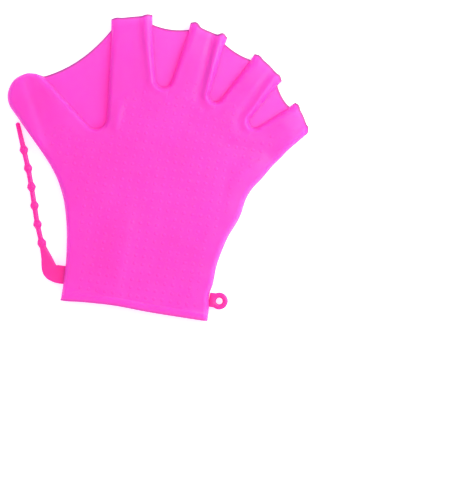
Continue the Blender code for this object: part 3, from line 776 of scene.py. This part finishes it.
# Radius and height of each ring, as shares of the dot's
DOT_PROFILE = np.array([(0.40, 1.0), (0.76, 0.62), (1.0, 0.04), (0.98, -0.7)])


def seats(places):
    """Points and normals of the skin under each place: a ray dropped from 50 mm up."""
    tree = BVHTree.FromObject(glove_skin, bpy.context.evaluated_depsgraph_get())
    hits = [tree.ray_cast(Vector((x, y, 0.05)), Vector((0, 0, -1))) for x, y in places]
    return np.array([hit[0] for hit in hits]), np.array([hit[1] for hit in hits])


def dot_corners(points, normals, size):
    """point + size * (radius * profile_r * (u cos a + v sin a) + height * profile_z * n)."""
    turn = np.arange(DOT_SIDES) * 2 * math.pi / DOT_SIDES
    u = unit(np.cross(np.array([0, 1, 0]), normals))[:, None, None]
    v = np.cross(normals[:, None, None], u)
    ring = u * np.cos(turn)[:, None] + v * np.sin(turn)[:, None]
    out = DOT_RADIUS * DOT_PROFILE[:, 0, None, None] * ring
    up = DOT_HEIGHT * DOT_PROFILE[:, 1, None, None] * normals[:, None, None]
    return points[:, None, None] + (out + up) * size[:, None, None, None]


def ring_faces(rings, sides, closed=True):
    """Quads between neighbouring rings, and one face over each end where it is closed."""
    index = np.arange(rings * sides).reshape(rings, sides)
    after = np.roll(index, -1, axis=1)
    quads = np.stack([index[:-1], after[:-1], after[1:], index[1:]], axis=-1).reshape(-1, 4)
    return quads.tolist() + ([index[0].tolist(), index[-1][::-1].tolist()] if closed else [])


dot_points, dot_normals = seats(dot_places + place[:2])
rings = dot_corners(dot_points, dot_normals, dot_size)
one_dot = ring_faces(len(DOT_PROFILE), DOT_SIDES)
per_dot = len(DOT_PROFILE) * DOT_SIDES
dot_faces = [[c + k * per_dot for c in face] for k in range(len(dot_points)) for face in one_dot]
grip_dots = new_piece("grip_dots", rings.reshape(-1, 3), dot_faces, merge=False, crisp=70)

# %% [markdown]
# The strap is moulded onto the thumb's side of the cuff. Its root is a flat tab that
# turns towards the fingers and thins to a cord with six beads and a plain tail. It is one
# profile carried along a path: a rounded rectangle at the root that becomes a circle. The
# route is given in shares of the strap's length, from the middle of its root.

# %% Sizes of the strap
STRAP_THICKNESS = 0.0030
STRAP_LENGTH = 0.1092
CORD_DIAMETER, TAIL_DIAMETER = 0.0034, 0.0030
BEAD_DIAMETER, BEAD_LENGTH = 0.0058, 0.0056
BEAD_COUNT, BEAD_PITCH, FIRST_BEAD = 6, 0.0124, 0.0287
BEAD_POWER = 1.4  # 2 would be a parabola, 1 a double cone
TAB_START, TAB_FADE = 0.09, 1.02  # where the tab thins, as shares of the way to the first bead
TAB_SQUARE = 0.62  # how far the root's section is from an ellipse
TAB_OVERLAP = 0.0009  # how far the root reaches towards the glove's side
TIP_RADIUS, TIP_BLUNT = 0.0013, 0.00005
STRAP_SIDES = 20
STRAP_ROUTE = np.array([
    (0.0, 0.0), (-0.0495, 0.0010), (-0.0888, 0.0183), (-0.1200, 0.0842), (-0.1639, 0.1722),
    (-0.2070, 0.2811), (-0.2427, 0.3919), (-0.2775, 0.4991), (-0.3141, 0.6035),
    (-0.3553, 0.7070), (-0.4212, 0.8654), (-0.4900, 1.0300),
])
print("strap of", BEAD_COUNT, "beads,", round(STRAP_LENGTH * 1000), "mm long")


# %% Make the strap
def smoothed(values, count):
    """The mean of each value and its nearest neighbours, with both ends repeated."""
    padded = np.pad(values, count // 2, mode="edge")
    return np.convolve(padded, np.ones(count) / count, "valid")


def strap_corners(root):
    """Route + width/2 * c^p to the left + height/2 * s^p up, for c, s = cos, sin of the turn."""
    route = smooth_path(STRAP_ROUTE * STRAP_LENGTH + root)
    run = np.linalg.norm(np.diff(route, axis=0), axis=1).sum()
    root_steps = np.linspace(0, 0.8 * FIRST_BEAD, 40)
    s = np.concatenate([root_steps, np.linspace(root_steps[-1], STRAP_LENGTH, 190)[1:]])
    points = along(route, s / run)
    ahead = unit(np.gradient(points, axis=0))
    ahead = unit(np.stack([smoothed(ahead[:, k], 9) for k in (0, 1)], axis=-1))
    ahead[0] = (-1, 0)
    points[:6, 0] += TAB_OVERLAP * (1 - np.arange(6) / 6)

    beads = FIRST_BEAD + BEAD_PITCH * np.arange(BEAD_COUNT)
    off = np.abs(s[:, None] - beads).min(axis=1)
    bead = np.clip(1 - (2 * off / BEAD_LENGTH) ** BEAD_POWER, 0, 1)
    swell = (BEAD_DIAMETER - CORD_DIAMETER) * bead
    tab = 1 - eased((s / FIRST_BEAD - TAB_START) / TAB_FADE)
    tail = eased((s - beads[-1]) / (STRAP_LENGTH - beads[-1]))
    cord = CORD_DIAMETER + (TAIL_DIAMETER - CORD_DIAMETER) * tail
    tip = quarter_round(STRAP_LENGTH - s + TIP_BLUNT, TIP_RADIUS)
    width = (cord + (STRAP_WIDTH - cord) * tab + swell) * tip
    height = (cord + (STRAP_THICKNESS - cord) * tab + swell) * tip
    middle = SEAM_HEIGHT + (BEAD_DIAMETER / 2 - SEAM_HEIGHT) * eased(s / FIRST_BEAD)
    middle = middle + (TAIL_DIAMETER / 2 - middle) * tail

    turn = 2 * math.pi * (np.arange(STRAP_SIDES) + 0.5) / STRAP_SIDES
    power = 1 - TAB_SQUARE * tab[:, None]
    c = np.sign(np.cos(turn)) * np.abs(np.cos(turn)) ** power * width[:, None] / 2
    up = np.sign(np.sin(turn)) * np.abs(np.sin(turn)) ** power * height[:, None] / 2
    plan = points[:, None] + turned_left(ahead)[:, None] * c[..., None]
    return np.dstack([plan, middle[:, None] + up])


strap_root = np.array([side_reach(thumb_side, STRAP_POSITION, STRAP_WIDTH), STRAP_POSITION])
strap_rings = strap_corners(strap_root) + place
strap_faces = ring_faces(len(strap_rings), STRAP_SIDES)
beaded_strap = new_piece("beaded_strap", strap_rings.reshape(-1, 3), strap_faces, crisp=70)
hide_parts("wrist_strap")

# %% [markdown]
# The eyelet takes the end of the strap. It is a ring with a flared neck, drawn around its
# hole: in each direction a rounded section runs from the hole's edge to the rim, and the
# rim lies further out where it has to reach the glove's side.

# %% Make the eyelet
EYELET_HOLE = 0.0042
EYELET_THICKNESS = 0.0030
EYELET_BEAD = (0.22, 0.0039, 0.0012)  # share of the thickness, distance out, half width
EYELET_STEPS, EYELET_SIDES = 96, 24  # around the hole, and around the section
NECK_OVERLAP = 0.0006  # how far the neck reaches towards the glove's side
NECK_HALF, NECK_FILLET = math.radians(33), 0.5  # half angle of the neck, and of its fillets


def eyelet_corners(centre):
    """Superellipse sections between the hole's radius and rim(a), for each angle a."""
    a = np.linspace(-math.pi, math.pi, EYELET_STEPS + 1)[:-1]
    off_neck = math.pi - np.abs(a)
    side = EYELET_REACH + NECK_OVERLAP
    neck = side / np.maximum(np.cos(off_neck), 0.2)
    corner = side / math.cos(NECK_HALF)
    past = eased((off_neck - NECK_HALF) / NECK_FILLET) ** 0.6
    rim = np.where(off_neck < NECK_HALF, neck, corner + (EYELET_DIAMETER / 2 - corner) * past)
    t = np.linspace(0, 2 * math.pi, EYELET_SIDES + 1)[:-1]
    c = np.sign(np.cos(t)) * np.abs(np.cos(t)) ** 0.6
    s = np.sign(np.sin(t)) * np.abs(np.sin(t)) ** 0.75
    hole = EYELET_HOLE / 2
    radius = (rim + hole)[:, None] / 2 + (rim - hole)[:, None] / 2 * c
    bead, bead_radius, bead_width = EYELET_BEAD
    thick = EYELET_THICKNESS * (1 + bead * hump(radius, bead_radius, bead_width))
    z = SEAM_HEIGHT + thick / 2 * s
    return np.stack([
        centre[0] + radius * np.cos(a)[:, None], centre[1] + radius * np.sin(a)[:, None], z,
    ], axis=-1)


eyelet_rings = eyelet_corners((eyelet_x, EYELET_POSITION)) + place
closed_ring = np.concatenate([eyelet_rings, eyelet_rings[:1]])
eyelet_faces = ring_faces(len(closed_ring), EYELET_SIDES, closed=False)
eyelet = new_piece("eyelet", closed_ring.reshape(-1, 3), eyelet_faces, crisp=70)
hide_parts("strap_eyelet")

# %% [markdown]
# Silicone is a soft solid: light enters it, scatters a little and leaves nearby, so its
# shadows are tinted and never black. The skin has a satin face. Three noises do that work:
# a coarse one drifts the colour, a middle one the gloss, and a fine one roughens the
# surface. Thin sheets, and the painted light near the ends and sides, take the pale colour.
# Rims take the deep one, which is painted shade, and scatter nothing, so that they stay crisp.

# %% Silicone
SKIN_PINK, SKIN_DEEP = (0.94, 0.054, 0.54), (0.92, 0.047, 0.49)
# The thin pink holds the thin webs and painted light; the rim pink is painted shade.
THIN_AND_LIT_PINK, RIM_SHADE_PINK = (0.95, 0.076, 0.56), (0.37, 0.055, 0.295)
DOT_PINK, DOT_DEEP = (0.93, 0.044, 0.505), (0.91, 0.039, 0.465)
STRAP_PINK, STRAP_DEEP = (0.89, 0.032, 0.35), (0.87, 0.028, 0.32)
SKIN_ROUGHNESS, DOT_ROUGHNESS, STRAP_ROUGHNESS = 0.45, 0.55, 0.40
GLOW = 0.7  # share of the light that scatters below the surface


def node(tree, kind, **settings):
    """A new node with some of its values and sockets set."""
    made = tree.nodes.new(kind)
    for name, value in settings.items():
        if name in made.inputs:
            made.inputs[name].default_value = value
        else:
            setattr(made, name, value)
    return made


def principled(name, sockets):
    """A new material and its Principled shader, with some of its sockets set."""
    material = bpy.data.materials.new(name)
    material.use_nodes = True
    shader = material.node_tree.nodes["Principled BSDF"]
    for socket, value in sockets.items():
        shader.inputs[socket].default_value = value
    return material, shader


def mixed(tree, factor, first, second):
    """A colour socket: first + (second - first) * factor."""
    mix = node(tree, "ShaderNodeMix", data_type="RGBA")
    from_here, to_here = [socket for socket in mix.inputs if socket.type == "RGBA"]
    tree.links.new(factor, mix.inputs["Factor"])
    tree.links.new(first, from_here)
    to_here.default_value = (*second, 1)
    return [socket for socket in mix.outputs if socket.type == "RGBA"][0]


def silicone(name, colour, deep, roughness, glow, thin_and_lit=None, rim=None):
    """Principled: a coarse noise drifts the colour, thin sheets and painted light are pale, rims
    take painted shade.
    """
    material, shader = principled(name, {
        "Metallic": 0.0, "Specular IOR Level": 0.25, "Subsurface Weight": glow,
        "Subsurface Radius": (1.0, 0.15, 0.75), "Subsurface Scale": 0.005,
    })
    tree = material.node_tree
    link = tree.links.new
    where = node(tree, "ShaderNodeTexCoord")
    drift = node(tree, "ShaderNodeTexNoise", Scale=34.0, Detail=3.0, Roughness=0.55)
    grain = node(tree, "ShaderNodeTexNoise", Scale=900.0, Detail=3.0, Roughness=0.6)
    swirl = node(tree, "ShaderNodeTexNoise", Scale=210.0, Detail=2.0, Roughness=0.5)
    for noise in (drift, grain, swirl):
        link(where.outputs["Object"], noise.inputs["Vector"])
    shade = node(tree, "ShaderNodeValToRGB")
    for stop, at, tint in zip(shade.color_ramp.elements, (0.30, 0.72), (deep, colour)):
        stop.position, stop.color = at, (*tint, 1)
    link(drift.outputs["Fac"], shade.inputs["Fac"])
    result = shade.outputs["Color"]
    # Painted light and shade: the attribute mixes in the pale colour and the deep rim colour.
    if thin_and_lit is not None:
        look = node(tree, "ShaderNodeAttribute", attribute_name="painted_light_and_thinness").outputs["Fac"]
        rim_shade = node(tree, "ShaderNodeMath", operation="MULTIPLY")
        rim_shade.inputs[1].default_value = -1
        link(look, rim_shade.inputs[0])
        result = mixed(tree, look, result, thin_and_lit)
        result = mixed(tree, rim_shade.outputs["Value"], result, rim)
        dull = node(tree, "ShaderNodeMapRange", **{"To Min": glow, "To Max": 0.0})
        link(rim_shade.outputs["Value"], dull.inputs["Value"])
        link(dull.outputs["Result"], shader.inputs["Subsurface Weight"])
    link(result, shader.inputs["Base Color"])
    ends = {"To Min": roughness - 0.07, "To Max": roughness + 0.09}
    gloss = node(tree, "ShaderNodeMapRange", **ends)
    link(swirl.outputs["Fac"], gloss.inputs["Value"])
    link(gloss.outputs["Result"], shader.inputs["Roughness"])
    soft = node(tree, "ShaderNodeBump", Strength=0.15, Distance=0.00012)
    fine = node(tree, "ShaderNodeBump", Strength=0.20, Distance=0.00003)
    link(swirl.outputs["Fac"], soft.inputs["Height"])
    link(grain.outputs["Fac"], fine.inputs["Height"])
    link(soft.outputs["Normal"], fine.inputs["Normal"])
    link(fine.outputs["Normal"], shader.inputs["Normal"])
    material.diffuse_color = (*colour, 1)
    return material


skin_silicone = silicone(
    "pink_silicone", SKIN_PINK, SKIN_DEEP, SKIN_ROUGHNESS, GLOW, thin_and_lit=THIN_AND_LIT_PINK, rim=RIM_SHADE_PINK
)
dot_silicone = silicone("dot_silicone", DOT_PINK, DOT_DEEP, DOT_ROUGHNESS, 0.0)
strap_silicone, eyelet_silicone = (
    silicone(name, STRAP_PINK, STRAP_DEEP, STRAP_ROUGHNESS, GLOW)
    for name in ("strap_silicone", "eyelet_silicone")
)
for piece, finish in (
    (glove_skin, skin_silicone), (grip_dots, dot_silicone),
    (beaded_strap, strap_silicone), (eyelet, eyelet_silicone),
):
    piece.data.materials.append(finish)
    print(piece.name, "wears", finish.name)

# %% [markdown]
# A product photo of this kind is shot on white, with one large soft lamp on the right and
# light from everywhere else. The sky is a little violet and the lamp a little green, so
# the sides that face the lamp are pale and those that face away are a deep, cool pink.

# %% Floor and light
TABLE_GLOW = 0.5
TABLE_HALF, TABLE_LEVEL = 3, -1e-4


def floor_piece():
    """A flat square, 6 m wide, just below the glove."""
    mesh = bpy.data.meshes.new("table")
    corners = [(x * TABLE_HALF, y * TABLE_HALF) for x, y in ((-1, -1), (1, -1), (1, 1), (-1, 1))]
    mesh.from_pydata([(x, y, TABLE_LEVEL) for x, y in corners], [], [(0, 1, 2, 3)])
    paper, _ = principled("white_table", {
        "Base Color": (0.9, 0.9, 0.9, 1), "Roughness": 0.9,
        "Emission Color": (1, 1, 1, 1), "Emission Strength": TABLE_GLOW,
    })
    mesh.materials.append(paper)
    table = placed("table", mesh)


SKY = 0.80
LAMP_AZIMUTH, LAMP_ELEVATION, LAMP_DISTANCE = 24, 38, 0.62  # degrees, degrees and metres
LAMP_POWER, LAMP_WIDTH = 4.4, 0.40
SKY_COLOUR, LAMP_COLOUR = (1.27, 1.02, 1.33, 1), (0.84, 1.0, 0.54)
GLOVE_MIDDLE = Vector((0, 0.01, 0.01))


def light_up():
    """A soft world, and a lamp at middle + distance * (cos e cos a, cos e sin a, sin e)."""
    world = bpy.data.worlds.new("soft_white")
    world.use_nodes = True
    sky = world.node_tree.nodes["Background"].inputs
    sky["Color"].default_value, sky["Strength"].default_value = SKY_COLOUR, SKY
    bpy.context.scene.world = world
    lamp = bpy.data.lights.new("soft_lamp", "AREA")
    lamp.energy, lamp.size, lamp.color = LAMP_POWER, LAMP_WIDTH, LAMP_COLOUR
    a, e = math.radians(LAMP_AZIMUTH), math.radians(LAMP_ELEVATION)
    out = Vector((math.cos(e) * math.cos(a), math.cos(e) * math.sin(a), math.sin(e)))
    holder = placed("soft_lamp", lamp)
    holder.location = GLOVE_MIDDLE + out * LAMP_DISTANCE
    holder.rotation_euler = out.to_track_quat("Z", "Y").to_euler()
    holder.visible_camera = False


floor_piece()
light_up()
print("lamp at", LAMP_AZIMUTH, "and", LAMP_ELEVATION, "degrees")

# %% [markdown]
# The camera looks straight down from well above, so the glove keeps its true outline. It
# is turned by a few degrees and looks past the glove's side, so the glove lies a little
# tilted in the upper left of the frame.

# %% Camera
VIEW_CENTRE = (0.0592, -0.0471)
VIEW_TURN = 8.8
VIEW_HEIGHT, VIEW_LENGTH = 1.2, 0.326  # above the table, and covered by the long side


def overhead_camera():
    """Lens = sensor * distance / covered length."""
    lens = bpy.data.cameras.new("overhead")
    lens.sensor_width = 36
    lens.lens = 36 * VIEW_HEIGHT / VIEW_LENGTH
    camera = placed("overhead", lens)
    camera.location = (*VIEW_CENTRE, VIEW_HEIGHT)
    camera.rotation_euler = (0, 0, math.radians(VIEW_TURN))
    bpy.context.scene.camera = camera
    print("lens", round(lens.lens, 1), "mm")


overhead_camera()
